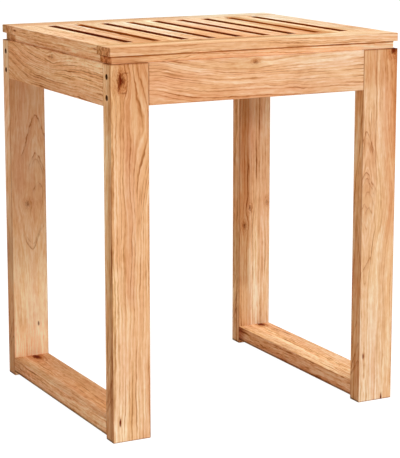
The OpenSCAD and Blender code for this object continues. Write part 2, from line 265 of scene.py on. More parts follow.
    # knots: red-brown halo, ringed heart and a dark ragged core
    rag = g.noise(g.vec(g.mul(L, 1 / 3.4), g.mul(A, 1 / 1.7), g.mul(B, 1 / 9)), 3.0, 0.62)
    chip = g.noise(g.vec(g.mul(L, 1 / 2.6), g.mul(A, 1 / 1.1), g.mad(B, 1 / 6, s)), 2.0, 0.6)
    for d, dark in near:
        d = g.add(d, g.mul(g.sub(rag, 0.5), 2.0))
        rr = g.fit(g.math("SINE", g.mul(d, 9.5)), -0.2, 0.9, 0.0, 1.0)
        colour = g.mix(g.fit(d, 2.8, 0.8, 0.0, 0.75 * dark, smooth=True), colour, (0.84, 0.67, 0.52), "MULTIPLY")
        colour = g.mix(g.mul(g.fit(d, 2.6, 1.0, 0.0, 0.75 * dark), rr), colour, (0.66, 0.42, 0.26), "MULTIPLY")
        heart = g.fit(d, 1.25, 0.55, 0.0, 0.85 * dark, smooth=True)
        colour = g.mix(g.mul(heart, g.fit(chip, 0.36, 0.60, 0.25, 1.0)), colour, (0.290, 0.080, 0.016))
        core = g.fit(d, 0.80, 0.20, 0.0, 0.97 * dark, smooth=True)
        colour = g.mix(g.mul(core, g.fit(chip, 0.38, 0.54, 0.35, 1.0)), colour, (0.105, 0.012, 0.001))
    for along, across, rl, ra, dark, *deep in marks:
        dl, da = g.mul(g.sub(L, along), 1 / rl), g.mul(g.sub(A, across), 1 / ra)
        d2 = g.add(g.mul(dl, dl), g.mul(da, da))
        if deep:
            db = g.mul(g.sub(B, deep[0]), 1 / deep[1])
            d2 = g.add(d2, g.mul(db, db))
        d = g.add(g.math("SQRT", d2), g.mul(g.sub(rag, 0.5), 1.1))
        colour = g.mix(g.fit(d, 1.9, 0.7, 0.0, 0.5 * dark, smooth=True), colour, (0.78, 0.54, 0.38), "MULTIPLY")
        colour = g.mix(g.fit(d, 1.20, 0.40, 0.0, dark, smooth=True), colour, (0.150, 0.014, 0.0008))

    for letter, frm, to, col in side_zones:
        v = {"L": L, "A": A, "B": B}[letter]
        colour = g.mix(g.mul(side, g.fit(v, frm, to, 0.0, 1.0, smooth=True)), colour, col, "MULTIPLY")
    if side_tone != (1.0, 1.0, 1.0):
        colour = g.mix(side, colour, side_tone, "MULTIPLY")
    if tone != (1.0, 1.0, 1.0):
        colour = g.mix(1.0, colour, tone, "MULTIPLY")

    if half:
        # the eased edges are darkened a little: painted shade as an outline, and darker joints where boards meet
        near_edge = [g.fit(g.math("ABSOLUTE", g.sub(xyz[k], centre[k])), half[k] - 1.5, half[k] - 0.6, 0.0, 1.0) for k in range(3)]
        pairs = [g.math("MINIMUM", near_edge[0], near_edge[1]), g.math("MINIMUM", near_edge[1], near_edge[2]),
                 g.math("MINIMUM", near_edge[0], near_edge[2])]
        edge_shade_mask = g.math("MAXIMUM", pairs[0], g.math("MAXIMUM", pairs[1], pairs[2]))
        colour = g.mix(g.mul(edge_shade_mask, edge), colour, (0.62, 0.47, 0.36), "MULTIPLY")

    # end grain drinks more oil
    face = g.fit(g.math("ABSOLUTE", normal[il]), 0.72, 0.90, 0.0, 1.0)
    speck = g.noise(g.vec(g.mul(L, 1 / 3.0), g.mul(A, 1 / 1.1), g.mul(B, 1 / 1.1)), 3.0, 0.65)
    blot = g.noise(g.vec(g.mul(L, 1 / 9.0), g.mad(A, 1 / 5.5, s), g.mad(B, 1 / 4.5, -s)), 2.0, 0.6)
    endcol = g.mix(1.0, colour, end, "MULTIPLY")
    endcol = g.mix(g.fit(speck, 0.40, 0.66, 0.0, min(1.0, 0.60 * end_mottle)), endcol, (0.60, 0.46, 0.36), "MULTIPLY")
    endcol = g.mix(g.fit(blot, 0.42, 0.62, 0.0, min(1.0, 0.75 * end_mottle)), endcol, end_blot, "MULTIPLY")
    for letter, frm, to, col in end_zones:
        v = {"L": L, "A": A, "B": B}[letter]
        endcol = g.mix(g.fit(v, frm, to, 0.0, 1.0, smooth=True), endcol, col, "MULTIPLY")
    colour = g.mix(face, colour, endcol)

    if stain is not None:
        # painted shade on the sawn walls of the drain slots, lighter where a wall is painted as lit
        lo, hi, base, top, y_end, pale, rim_lo, rim_hi = stain
        inside = g.mul(g.fit(xyz[0], lo, lo + 0.2, 0.0, 1.0), g.fit(xyz[0], hi - 0.2, hi, 1.0, 0.0))
        inside = g.mul(inside, g.fit(g.math("ABSOLUTE", xyz[1]), y_end + 0.5, y_end + 1.0, 1.0, 0.0))
        inside = g.mul(inside, g.mul(g.fit(xyz[2], top - 0.05, top - 0.01, 1.0, 0.0), g.fit(xyz[2], base, base + 0.2, 0.0, 1.0)))
        dull = g.noise(g.vec(g.mad(xyz[0], 1 / 11, s), g.mul(xyz[1], 1 / 45), g.mul(xyz[2], 1 / 5)), 2.0, 0.5)
        shade = g.mix(g.fit(dull, 0.34, 0.66, max(0.0, pale - 0.14), pale + 0.14), (0.140, 0.005, 0.0001), (0.520, 0.125, 0.008))
        colour = g.mix(g.mul(inside, 0.98), colour, shade)
        # along the sawn edge on the seat: a red-brown rim of painted shade, then a paler rim of painted highlight
        away = g.math("MINIMUM", g.sub(g.math("ABSOLUTE", g.sub(xyz[0], lo + 4.75 if lo > -150.0 else -999.0)), rim_lo),
                      g.sub(g.math("ABSOLUTE", g.sub(xyz[0], hi - 4.75 if hi < 150.0 else 999.0)), rim_hi))
        on_top = g.mul(g.fit(g.math("ABSOLUTE", xyz[1]), y_end + 0.2, y_end + 1.2, 1.0, 0.0),
                       g.fit(xyz[2], top - 0.3, top - 0.05, 0.0, 1.0))
        painted_highlight_rim = g.mul(g.fit(away, 1.8, 2.6, 0.0, 1.0), g.fit(away, 3.8, 5.4, 1.0, 0.0))
        colour = g.mix(g.mul(painted_highlight_rim, g.mul(on_top, 0.9)), colour, (1.03, 1.12, 1.24), "MULTIPLY")
        colour = g.mix(g.mul(g.fit(away, 1.0, 2.3, 1.0, 0.0), g.mul(on_top, 0.9)), colour, (0.99, 0.54, 0.12), "MULTIPLY")
    for hy, hz, radius in holes:
        # the bored walls and the floor of a counterbore: darker end grain and painted shade, and a painted highlight on
        # one side of its rim
        dy, dz = g.sub(xyz[1], hy), g.sub(xyz[2], hz)
        d = g.math("SQRT", g.add(g.mul(dy, dy), g.mul(dz, dz)))
        dark = g.mul(g.fit(d, radius + 0.10, radius + 0.65, 1.0, 0.0),
                     g.fit(g.math("ABSOLUTE", xyz[0]), abs(centre[0]) + 23.5, abs(centre[0]) + 22.6, 0.0, 0.94))
        rim_highlight = g.mul(g.fit(d, radius + 0.5, radius + 0.9, 0.0, 1.0), g.fit(d, radius + 1.6, radius + 2.3, 1.0, 0.0))
        rim_highlight = g.mul(rim_highlight, g.mul(g.fit(dy, 0.5, 2.5, 0.0, 1.0), side))
        colour = g.mix(rim_highlight, colour, (1.16, 1.24, 1.30), "MULTIPLY")
        # painted shade inside the bore, over darker end grain
        colour = g.mix(dark, colour, (0.060, 0.012, 0.001))

    height = g.add(g.mul(tval, 0.5), g.add(g.mul(pore, -0.7), g.mul(fibre, 0.35)))
    bump = g.node("ShaderNodeBump")
    bump.inputs["Strength"].default_value = 0.35
    bump.inputs["Distance"].default_value = 0.00012
    g.feed(bump.inputs["Height"], height)
    rough = g.add(g.fit(tval, 0.1, 0.9, 0.62, 0.50), g.add(g.mul(pore, 0.08), g.mul(face, 0.12)))

    out = g.node("ShaderNodeOutputMaterial")
    bsdf = g.node("ShaderNodeBsdfPrincipled")
    g.feed(bsdf.inputs["Base Color"], colour)
    g.feed(bsdf.inputs["Roughness"], rough)
    g.feed(bsdf.inputs["Normal"], bump.outputs[0])
    bsdf.inputs["Specular IOR Level"].default_value = 0.04
    bsdf.inputs["IOR"].default_value = 1.40
    g.tree.links.new(bsdf.outputs[0], out.inputs[0])
    return g.mat


def steel(name):
    """Turned and tumbled steel: fine rings round the axis, smudges and a few scratches."""
    g = Graph(name)
    tc = g.node("ShaderNodeTexCoord")
    v = tc.outputs["Object"]
    smudge = g.noise(v, 3.0, 0.6, scale=420.0)
    x, y, z = g.split(v)
    scratch = g.noise(g.vec(g.mul(x, 9000.0), g.mul(y, 1600.0), g.mul(z, 1600.0)), 2.0, 0.6)
    colour = g.mix(smudge, (0.17, 0.135, 0.105), (0.34, 0.29, 0.24))
    colour = g.mix(g.fit(scratch, 0.55, 0.75, 0.0, 0.45), colour, (0.50, 0.46, 0.41))
    bump = g.node("ShaderNodeBump")
    bump.inputs["Strength"].default_value = 0.25
    bump.inputs["Distance"].default_value = 0.00005
    g.feed(bump.inputs["Height"], scratch)
    out = g.node("ShaderNodeOutputMaterial")
    bsdf = g.node("ShaderNodeBsdfPrincipled")
    g.feed(bsdf.inputs["Base Color"], colour)
    bsdf.inputs["Metallic"].default_value = 1.0
    g.feed(bsdf.inputs["Roughness"], g.fit(smudge, 0.3, 0.7, 0.30, 0.52))
    g.feed(bsdf.inputs["Normal"], bump.outputs[0])
    g.tree.links.new(bsdf.outputs[0], out.inputs[0])
    return g.mat


# ---------------------------------------------------------------- the boards, one by one

# the swirl of the grain on a leg's narrow face, a hand above the floor; y of the front legs
SWIRL = [(101.0, -154.0, 2.7, 0.5, 1.2, 0.6, 0.0, 14.0), (94.0, -154.0, 2.7, 0.5, 1.3, -0.8, 0.0, 14.0),
         (74.0, -158.0, 2.2, 0.5, 1.4, 0.8, 0.0, 17.0), (52.0, -157.5, 1.5, 1.5, 1.2, 0.7, 3.0, 15.0),
         (44.0, -157.0, 1.2, 1.5, 1.1, -0.7, 3.0, 15.0)]
SWIRL_F = [("B", *s) for s in SWIRL]
SWIRL_R = [("B", s[0], s[1] + 301.0, *s[2:]) for s in SWIRL]
# painted contact shadow along the bottom of a leg's narrow faces
FOOT_SHADOW = ("L", 3.8, 1.8, (0.44, 0.50, 0.51))

HOLES = [(sy * 150.5, z, 3.2) for sy in (-1, 1) for z in (417.5, 394.2)]
BOARDS = {
    "leg_front_left": dict(axis="Z", seed=1, crisp=(1.0, 1.6), pith=(-62, 38), spacing=3.5, wave=(2.4, 1.10, 0.42), tone=(1.0, 1.0, 1.03),
        # first band: painted contact shadow at the foot; third band: painted highlight along the front face's outer
        # arris
        bands=[("L", -1.0, 1.3, 0.5, (0.72, 0.57, 0.47)), ("A", -171.0, -158.0, 4.0, (0.92, 0.84, 0.84), 160.0, 345.0), ("E", -187.0, -185.4, 0.8, (1.06, 1.14, 1.22)),
               ("E", -195.0, -172.5, 6.0, (1.03, 1.11, 1.20), -40.0, 205.0)],
        knots=[(413.5, -175.0, 8.4, 5.2, 0.9, 2.1)],
        bumps=[(368.0, -141.0, 68.0, 17.0, -15.0), (250.0, -163.0, 60.0, 9.0, -2.5)], floor=0.40,
        marks=[(24.0, -179.0, 5.5, 1.3, 1.0), (414.0, -175.8, 10.0, 1.7, 0.75), (406.0, -177.5, 6.0, 1.3, 0.65),
               (413.0, -174.8, 2.4, 1.5, 0.9), (412.0, -171.5, 3.0, 2.4, 0.40), (399.5, -171.5, 1.1, 4.5, 0.45), (421.5, -169.5, 1.0, 4.5, 0.40)],
        side_zones=[("B", -149.0, -157.0, (0.84, 0.77, 0.70)), ("B", -151.0, -144.0, (1.09, 1.12, 1.14)), ("L", 90.0, 44.0, (0.88, 0.79, 0.72)),
                    ("L", 260.0, 390.0, (1.22, 1.38, 1.52)), ("L", 375.0, 400.0, (1.07, 1.08, 1.10)), ("L", 260.0, 190.0, (0.88, 0.82, 0.76)), FOOT_SHADOW],
        strokes=SWIRL_F,
        zones=[("L", 170.0, 20.0, (1.03, 1.13, 1.22)), ("L", 300.0, 410.0, (0.85, 0.745, 0.655)), ("A", -170.0, -181.0, (1.04, 1.11, 1.13))],
        side_streak=1.5, side_tone=(0.94, 0.94, 0.94), edge=0.7, holes=HOLES[:2]),
    "leg_front_right": dict(axis="Z", seed=2, crisp=(1.0, 1.25), pith=(-16.75, -12.5), spacing=3.3, wave=(2.2, 1.10, 0.42), floor=0.1,
        bumps=[(252.0, 147.0, 58.0, 900.0, -11.0)], contrast=1.0, rings=0.65,
        strokes=[("A", 334.0, 146.2, 2.9, 2.0, 0.9, 0.9, 5.0, 11.0), ("A", 326.0, 146.2, 2.9, 2.0, 0.7, 0.45, 5.0, 7.0),
                 ("A", 285.0, 146.2, 2.0, 2.0, 0.9, 0.9, 5.0, 13.0), ("A", 277.0, 147.0, 2.2, 1.8, 0.8, 0.7, 5.0, 9.0),
                 ("A", 262.0, 149.0, 2.4, 1.5, 0.7, 0.5, 3.0, 8.0), ("A", 246.0, 144.5, 1.6, 0.8, 1.0, 0.9, 3.0, 3.0),
                 ("A", 242.0, 151.0, 1.8, 0.8, 0.9, 0.8, 3.5, 5.0), ("A", 180.0, 154.1, 1.6, 0.5, 0.9, 0.6, 13.0, 0.5)] + SWIRL_F,
        # the first of the bands is a painted contact shadow at the foot
        side_zones=[("L", 190.0, 300.0, (1.09, 1.15, 1.14)), ("L", 225.0, 130.0, (0.87, 0.74, 0.62)), ("L", 60.0, 30.0, (0.96, 0.91, 0.90)), FOOT_SHADOW], rare=0.04, mottled=1.6, bands=[("L", -1.0, 1.3, 0.5, (0.72, 0.57, 0.47)), ("A", 162.0, 165.5, 1.5, (1.04, 1.10, 1.16)), ("A", 171.0, 200.0, 6.0, (0.93, 0.83, 0.76), 205.0, 388.0),
               ("E", 130.0, 171.0, 6.0, (0.95, 0.88, 0.81), 388.0, 470.0),
               ("A", 157.6, 159.0, 0.9, (0.76, 0.62, 0.52), 300.0, 470.0), ("A", 159.6, 162.4, 1.2, (1.06, 1.13, 1.18), 250.0, 425.0),
               ("E", 184.2, 190.0, 1.6, (0.86, 0.72, 0.60), 300.0, 470.0), ("E", 130.0, 154.0, 5.0, (0.94, 0.89, 0.82), 214.0, 272.0)], tone=(0.92, 0.965, 1.05),
        knots=[(432.0, 183.0, 8.0, 5.0, 1.0, 2.1)],
        marks=[(58.0, 146.5, 4.0, 1.3, 0.9), (2.5, 173.5, 6.0, 1.3, 1.0), (429.0, 182.0, 3.2, 3.6, 0.85)],
        zones=[("A", 163.0, 156.0, (1.01, 1.04, 1.06)), ("A", 168.0, 182.0, (0.99, 0.92, 0.83)),
               ("L", 170.0, 20.0, (1.02, 1.09, 1.15)), ("L", 370.0, 405.0, (0.90, 0.80, 0.71))],
        side_streak=1.8, side_tone=(0.92, 0.84, 0.75), edge=0.7, holes=HOLES[:2]),
    "leg_rear_left": dict(axis="Z", seed=3, crisp=(1.6, 1.4), pith=(9.25, -12.5), spacing=6.0, wave=(3.2, 1.20, 0.45), floor=0.0,
        bumps=[(250.0, -155.0, 92.0, 900.0, -20.0)], contrast=0.85, rings=0.45, rare=0.12, mottled=2.0,
        strokes=[("A", 336.5, -154.0, 3.4, 4.0, 1.0, 1.0, 18.0, 11.0), ("A", 287.0, -154.5, 2.4, 3.0, 1.1, 0.9, 9.0, 12.0),
                 ("A", 280.0, -154.5, 2.4, 3.0, 0.8, 0.5, 6.0, 10.0), ("A", 249.6, -151.3, 1.8, 2.0, 0.9, 0.8, 6.0, 6.0),
                 ("A", 163.7, -161.0, -2.2, 3.0, 1.0, 0.8, 10.0, 16.0), ("A", 170.5, -160.0, -2.0, 3.0, 0.7, 0.5, 8.0, 15.0)] + SWIRL_R,
        side_zones=[("L", 150.0, 290.0, (1.48, 1.68, 1.82)), ("L", 215.0, 150.0, (0.77, 0.68, 0.60)), ("L", 75.0, 45.0, (0.84, 0.83, 0.83)),
                    ("L", 312.0, 335.0, (1.10, 1.24, 1.35)), ("L", 365.0, 392.0, (0.91, 0.88, 0.82)), ("L", 232.0, 212.0, (0.94, 0.87, 0.80)), ("L", 170.0, 150.0, (1.06, 1.12, 1.16)), FOOT_SHADOW],
        knots=[(223.0, -166.0, 4.6, 3.4, 0.45, 2.4)],
        marks=[(65.0, -154.0, 3.0, 1.4, 0.8)],
        # the zones along the leg are partly the board's own colour and partly painted shade and light: darker towards
        # the top under the seat, lighter towards the foot
        zones=[("L", 130.0, 280.0, (0.79, 0.74, 0.74)), ("L", 165.0, 100.0, (1.21, 1.31, 1.40)), ("L", 75.0, 45.0, (1.11, 1.16, 1.19))],
        side_streak=1.2, side_tone=(0.92, 0.87, 0.885), tone=(0.93, 0.93, 0.92), edge=0.7, holes=HOLES[2:]),
    "leg_rear_right": dict(axis="Z", seed=4, crisp=(1.15, 1.4), pith=(70, -40), spacing=4.2, wave=(2.4, 1.10, 0.42), contrast=1.05,
        bands=[("A", 160.5, 168.0, 3.0, (1.03, 1.09, 1.16), -40.0, 211.0), ("A", 138.0, 155.0, 4.0, (1.30, 1.52, 1.74), -40.0, 80.0), ("A", 145.0, 151.0, 3.0, (0.94, 0.84, 0.72), 200.0, 460.0),
               ("E", 156.0, 172.0, 6.0, (0.90, 0.87, 0.83), 300.0, 400.0)],
        knots=[(188.0, 157.0, 5.0, 2.6, 0.7, 2.2), (164.0, 148.5, 6.0, 3.0, 0.7, 2.2), (194.0, 183.5, 4.5, 2.4, 0.4, 2.2)],
        zones=[("A", 160.0, 153.0, (0.70, 0.55, 0.41)), ("L", 160.0, 290.0, (0.82, 0.77, 0.76)),
               ("L", 190.0, 110.0, (1.05, 1.13, 1.19)), ("A", 160.0, 164.0, (1.01, 1.03, 1.03)),
               ("L", 285.0, 325.0, (0.78, 0.75, 0.69))],
        tone=(0.96, 0.98, 1.04), edge=0.7, holes=HOLES[2:], strokes=SWIRL_R,
        # the last side zone lifts the top of the narrow faces, partly undoing the wide faces' darker top and partly
        # painted light against the shade under the apron
        side_zones=[("A", 168.0, 160.0, (1.38, 1.64, 2.05)), ("A", 160.0, 168.0, (0.98, 0.95, 0.92)),
                    ("L", 200.0, 310.0, (1.26, 1.42, 1.52)), ("L", 200.0, 130.0, (0.86, 0.84, 0.78)), ("L", 58.0, 40.0, (0.89, 0.79, 0.78)), ("L", 295.0, 325.0, (1.28, 1.38, 1.52)), FOOT_SHADOW]),
    "lower_rail_left": dict(axis="YF", seed=5, crisp=(2.2, 2.4), pith=(-55, -40), spacing=3.2, wave=(3.4, 1.7, 0.55),
        knots=[(131.5, -161.0, 9.5, 5.2, 1.0, 1.9)], tone=(1.01, 0.92, 0.84), side_tone=(1.16, 1.24, 1.39), side_streak=1.6, contrast=0.95, rings=0.6, mottled=3.4, edge=0.2,
        # first and last side zones: painted ground shadow along the bottom of the narrow faces
        side_zones=[("B", 11.0, 7.0, (0.90, 0.84, 0.80)), ("L", 50.0, 115.0, (0.98, 0.90, 0.87)), ("L", 92.0, 125.0, (0.84, 0.81, 0.73)), ("B", 12.0, 19.0, (1.07, 1.09, 1.10)),
                    ("B", 8.4, 7.0, (0.42, 0.43, 0.36))],
        zones=[("A", -175.0, -184.0, (0.88, 0.90, 0.92)), ("L", 110.0, 135.0, (0.95, 0.93, 0.92))],
        bands=[("E", -176.0, -160.0, 6.0, (1.07, 1.07, 1.07))],
        marks=[(131.0, -161.0, 8.5, 4.4, 1.0)],
        strokes=[("B", 88.0, 18.0, 1.6, 0.5, 1.1, -0.8, 11.0, 1.0), ("B", 95.0, 19.0, 1.5, 0.5, 0.9, -0.6, 12.0, 1.0),
                 ("B", 103.0, 19.0, 1.6, 0.5, 1.0, 0.6, 12.0, 1.0), ("B", 114.0, 17.0, 1.2, 0.5, 1.0, 0.6, 9.0, 1.0),
                 ("B", 126.0, 18.0, 1.4, 0.5, 1.0, 0.6, 10.0, 1.0)]),
    "lower_rail_right": dict(axis="YF", seed=6, crisp=(1.8, 2.4), pith=(60, -36), spacing=3.1, wave=(3.4, 1.7, 0.55),
        knots=[(134.5, 172.5, 8.0, 4.8, 1.0, 1.9)], tone=(1.14, 1.18, 1.165), contrast=1.1, rings=0.8, mottled=2.6, edge=0.3, marks=[(136.0, 172.5, 9.0, 5.3, 1.0)],
        zones=[("A", 170.0, 181.0, (0.93, 0.86, 0.84)), ("L", 60.0, -90.0, (1.05, 1.10, 1.15)), ("L", 110.0, 135.0, (0.93, 0.88, 0.86))],
        side_streak=2.2, side_tone=(0.78, 0.66, 0.64), bands=[("E", 156.0, 171.0, 5.0, (1.08, 1.12, 1.14)), ("E", 135.0, 153.0, 5.0, (0.88, 0.83, 0.79), 8.0, 34.0)],
        # first and last side zones: painted ground shadow along the bottom of the narrow faces
        side_zones=[("B", 12.0, 7.0, (0.86, 0.74, 0.68)), ("L", 120.0, 137.0, (0.66, 0.42, 0.34)), ("B", 8.4, 7.0, (0.42, 0.43, 0.36))]),
    "apron_left": dict(axis="Y", seed=7, pith=(-90, -30), spacing=3.0, wave=(3.6, 1.5, 0.5), contrast=1.25, tilt=-0.012, mottled=2.0,
        knots=[(2.0, 425.0, 5.0, 3.0, 0.30, 3.0)],
        bumps=[(2.0, 424.0, 80.0, 15.0, 8.0), (150.0, 408.0, 50.0, 36.0, -17.0)],
        marks=[(9.0, 424.0, 6.0, 0.8, 0.5)],
        zones=[("A", 405.0, 424.0, (1.06, 1.09, 1.12)), ("L", 60.0, 130.0, (0.97, 0.92, 0.86)), ("L", 10.0, -80.0, (1.11, 1.14, 1.16)),
               ("A", 406.0, 391.0, (0.93, 0.90, 0.89))],
        bands=[("A", 418.0, 440.0, 6.0, (1.04, 1.16, 1.28), -200.0, -32.0)],
        tone=(1.03, 1.01, 1.01), edge=0.12),
    "apron_right": dict(axis="Y", seed=8, pith=(80, 30), spacing=3.2, wave=(4.0, 1.5, 0.5),
        bumps=[(-60.0, 404.0, 70.0, 15.0, 9.0)], edge=0.12),
    "apron_front": dict(axis="X", seed=9, pith=(-90, 34), spacing=3.4, wave=(3.6, 1.5, 0.5), tilt=0.012, contrast=1.12,
        knots=[(-6.0, 425.5, 4.2, 2.4, 0.55, 2.6)],
        bumps=[(-150.0, 408.0, 50.0, 36.0, -12.0), (-6.0, 424.0, 80.0, 15.0, 8.0)],
        zones=[("A", 410.0, 428.0, (1.0, 1.05, 1.08)), ("A", 404.0, 388.0, (0.94, 0.85, 0.78)), ("L", 10.0, 80.0, (1.0, 1.09, 1.18))], tone=(0.96, 0.92, 0.95),
        bands=[("A", 416.0, 440.0, 5.0, (0.93, 0.87, 0.78), -42.0, 4.0)], edge=0.12),
    "apron_rear": dict(axis="X", seed=10, pith=(90, 34), spacing=3.1, wave=(4.0, 1.4, 0.5), tilt=-0.03,
        bumps=[(40.0, 408.0, 70.0, 14.0, -11.0)], tone=(0.97, 0.94, 0.93), edge=0.12),
    "seat_rail_front": dict(axis="XF", seed=11, pith=(-50, -46), spacing=2.7, wave=(3.4, 1.4, 0.5), tilt=0.03,
        bumps=[(-120.0, -146.0, 55.0, 14.0, 6.0)], end=(1.04, 0.92, 0.82), end_blot=(0.55, 0.36, 0.24), end_mottle=1.25, tone=(1.02, 1.06, 1.08),
        side_tone=(0.93, 0.89, 0.88), end_zones=[("A", -138.0, -134.0, (1.22, 1.42, 1.55))],
        # first zone: painted light that lifts the recess under the lip out of its shade; first band: painted shadow
        # line under the lip
        zones=[("B", 440.2, 439.2, (1.30, 1.36, 1.40)), ("L", 10.0, 60.0, (1.0, 1.16, 1.30))], side_zones=[("L", 10.0, 60.0, (1.0, 0.862, 0.769)), ("L", -12.0, 12.0, (1.07, 1.11, 1.14)), ("L", 84.0, 108.0, (0.935, 0.90, 0.88))],
        bands=[("B", 438.3, 440.3, 0.3, (0.52, 0.32, 0.18)), ("E", -137.0, -120.0, 5.0, (0.82, 0.76, 0.67), -240.0, 106.0),
               ("E", -133.5, -120.0, 4.0, (0.84, 0.78, 0.72), -96.0, 104.0), ("E", -170.0, -139.0, 3.0, (1.05, 1.10, 1.12), -95.0, 75.0),
               ("B", 430.0, 439.4, 0.4, (0.87, 0.73, 0.64), -240.0, -150.0), ("B", 430.0, 439.4, 0.4, (1.05, 1.12, 1.18), 140.0, 240.0)]),
    "seat_rail_rear": dict(axis="XF", seed=12, pith=(50, -46), spacing=3.1, wave=(3.2, 1.3, 0.5),
        tone=(0.99, 1.05, 1.12), end=(1.06, 1.02, 0.98), zones=[("L", 10.0, 90.0, (1.07, 1.33, 1.62)), ("L", -132.0, -165.0, (0.96, 0.90, 0.84)), ("A", 142.0, 152.0, (0.85, 0.90, 0.91))],
        side_zones=[("L", 10.0, 90.0, (0.935, 0.75, 0.62))]),
    "seat_end_slat_left": dict(axis="YF", seed=13, crisp=(1.6, 2.4), pith=(-46, -52), spacing=3.1, wave=(3.0, 1.3, 0.5),
        marks=[(119.0, -188.0, 4.5, 3.0, 0.85, 445.6, 1.1), (-121.0, -188.0, 6.0, 3.0, 0.55, 445.4, 1.0)],
        # the zone at B 440.2 is painted light lifting the recess under the lip; the band is a painted shadow line under
        # the lip
        side_streak=0.5, side_tone=(1.08, 1.05, 1.045), zones=[("A", -150.0, -142.0, (1.0, 0.95, 0.90)), ("L", 20.0, 110.0, (1.0, 1.05, 1.09)), ("B", 440.2, 439.2, (1.08, 1.17, 1.22)),
               ("L", -55.0, 5.0, (1.13, 1.30, 1.46)), ("L", -95.0, -115.0, (0.95, 0.92, 0.86))],
        side_zones=[("L", -55.0, 5.0, (0.885, 0.769, 0.685)), ("L", -95.0, -115.0, (1.05, 1.09, 1.16))],
        bands=[("B", 439.1, 440.3, 0.3, (0.70, 0.55, 0.45))]),
    "seat_end_slat_right": dict(axis="YF", seed=14, crisp=(1.6, 1.0), pith=(46, -52), spacing=3.1, wave=(3.0, 1.3, 0.5), tone=(0.97, 1.0, 1.02),
        zones=[("L", -70.0, -35.0, (1.02, 1.17, 1.36)), ("L", 0.0, 80.0, (1.05, 1.22, 1.40))], bands=[("L", -106.0, -62.0, 14.0, (0.87, 0.85, 0.82))],
        side_zones=[("L", -70.0, -35.0, (0.98, 0.855, 0.735)), ("L", 0.0, 80.0, (0.95, 0.82, 0.714))]),
    "lower_rail_dowels": dict(axis="YF", seed=31, pith=(-20, -20), spacing=2.0, wave=(1.0, 0.5, 0.2)),
    "side_apron_dowels": dict(axis="YF", seed=32, pith=(-20, -20), spacing=2.0, wave=(1.0, 0.5, 0.2)),
}
SLAT_TONES = [(1.08, 1.16, 1.30), (1.07, 1.17, 1.22), (1.07, 1.23, 1.42), (1.08, 1.23, 1.35),
              (1.05, 1.10, 1.18), (1.09, 1.19, 1.36), (1.04, 1.12, 1.22), (1.08, 1.17, 1.25)]
# how each slat's colour changes along it, and across it beside the slots
SLAT_ZONES = [[("L", -45.0, -85.0, (0.86, 0.76, 0.63))], [("L", -50.0, -85.0, (1.06, 1.14, 1.18))], [],
              [("L", 10.0, -35.0, (0.96, 0.79, 0.70)), ("L", -60.0, -90.0, (1.02, 1.13, 1.19))], [], [], [], []]
SLAT_BANDS = [[("A", -121.5, -100.0, 5.0, (0.90, 0.80, 0.68), -200.0, 40.0)],
              [("A", -87.0, -70.0, 5.0, (1.08, 1.14, 1.26), -200.0, 0.0)],
              [("L", -64.0, 15.0, 24.0, (1.07, 1.20, 1.32))],
              [("A", -17.0, 0.0, 5.0, (1.05, 1.16, 1.20))],
              [("A", 0.0, 18.5, 5.0, (0.96, 0.86, 0.80)), ("A", 19.5, 40.0, 4.0, (1.07, 1.12, 1.14), -75.0, 0.0)],
              [("A", 35.0, 54.0, 5.0, (0.97, 0.86, 0.76), 60.0, 200.0), ("A", 56.0, 75.0, 4.0, (1.03, 1.08, 1.12), -200.0, 60.0)],
              [("A", 90.5, 110.0, 5.0, (0.96, 0.84, 0.72), -200.0, 5.0), ("A", 70.0, 90.0, 5.0, (1.03, 1.14, 1.14), -70.0, 50.0)],
              # the last slat's two bands beside the eighth slot are painted light: a golden band for a lit slot wall,
              # then a pale painted highlight
              [("A", 100.0, 125.5, 5.0, (0.78, 0.68, 0.52)), ("A", 127.0, 145.0, 4.0, (1.08, 1.27, 1.44), -200.0, -5.0)]]
SLAT_END = [(0.94, 0.85, 0.73), (0.70, 0.54, 0.39), (0.70, 0.54, 0.39), (0.70, 0.56, 0.42), (0.73, 0.60, 0.47), (0.80, 0.73, 0.66), (0.90, 0.84, 0.75), (1.0, 1.0, 1.0)]
# per slot: how much painted light its walls get, and where its rims of painted shade on the seat sit
SLOT_LIGHT = [0.12, 0.85, 0.08, 0.52, 0.20, 0.40, 0.0, 0.85, 0.0]
SLOT_RIM = [-0.1, -0.5, 0.1, -0.4, 0.1, 0.0, 1.1, -0.1, 1.3]
for i in range(8):
    BOARDS[f"seat_slat_{i + 1}"] = dict(
        axis="YF", seed=15 + i, pith=((-1) ** i * (30 + 7 * i), -40 - 3 * i), spacing=3.0 + 0.1 * (i % 4),
        wave=(2.6, 1.3, 0.5), crisp=(1.6, 1.0), tone=SLAT_TONES[i], bands=SLAT_BANDS[i],
        zones=[("L", 0.0, 90.0, (1.0, 1.11, 1.19)), ("L", 0.0, -85.0, (0.97, 0.89, 0.82)), ("L", -116.5, -120.0, SLAT_END[i])] + SLAT_ZONES[i])

for node, spec in BOARDS.items():
    lo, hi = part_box(node)
    c = tuple((lo + hi) / 2 / MM)
    if not node.startswith("seat_slat"):
        spec["half"] = tuple((hi - lo) / 2 / MM)
    if node.startswith("seat_slat"):
        k = int(node[-1])
        spec["stain"] = (lo.x / MM, hi.x / MM, 431.6, 450.0, 112.0, SLOT_LIGHT[k - 1], SLOT_RIM[k - 1], SLOT_RIM[k])
    elif node == "seat_end_slat_left":
        spec["stain"] = (-150.0, hi.x / MM, 431.6, 450.0, 112.0, 0.1, 0.0, SLOT_RIM[0])
    elif node == "seat_end_slat_right":
        spec["stain"] = (lo.x / MM, 150.0, 431.6, 450.0, 112.0, SLOT_LIGHT[8], SLOT_RIM[8], 0.0)
    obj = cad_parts[node]
    obj.data.materials.clear()
    obj.data.materials.append(wood("wood_" + node, centre=c, **spec))
metal = steel("steel_screws")
for node in ("frame_screws", "seat_screws"):
    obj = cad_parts[node]
    obj.data.materials.clear()
    obj.data.materials.append(metal)


# ---------------------------------------------------------------- floor, light, camera

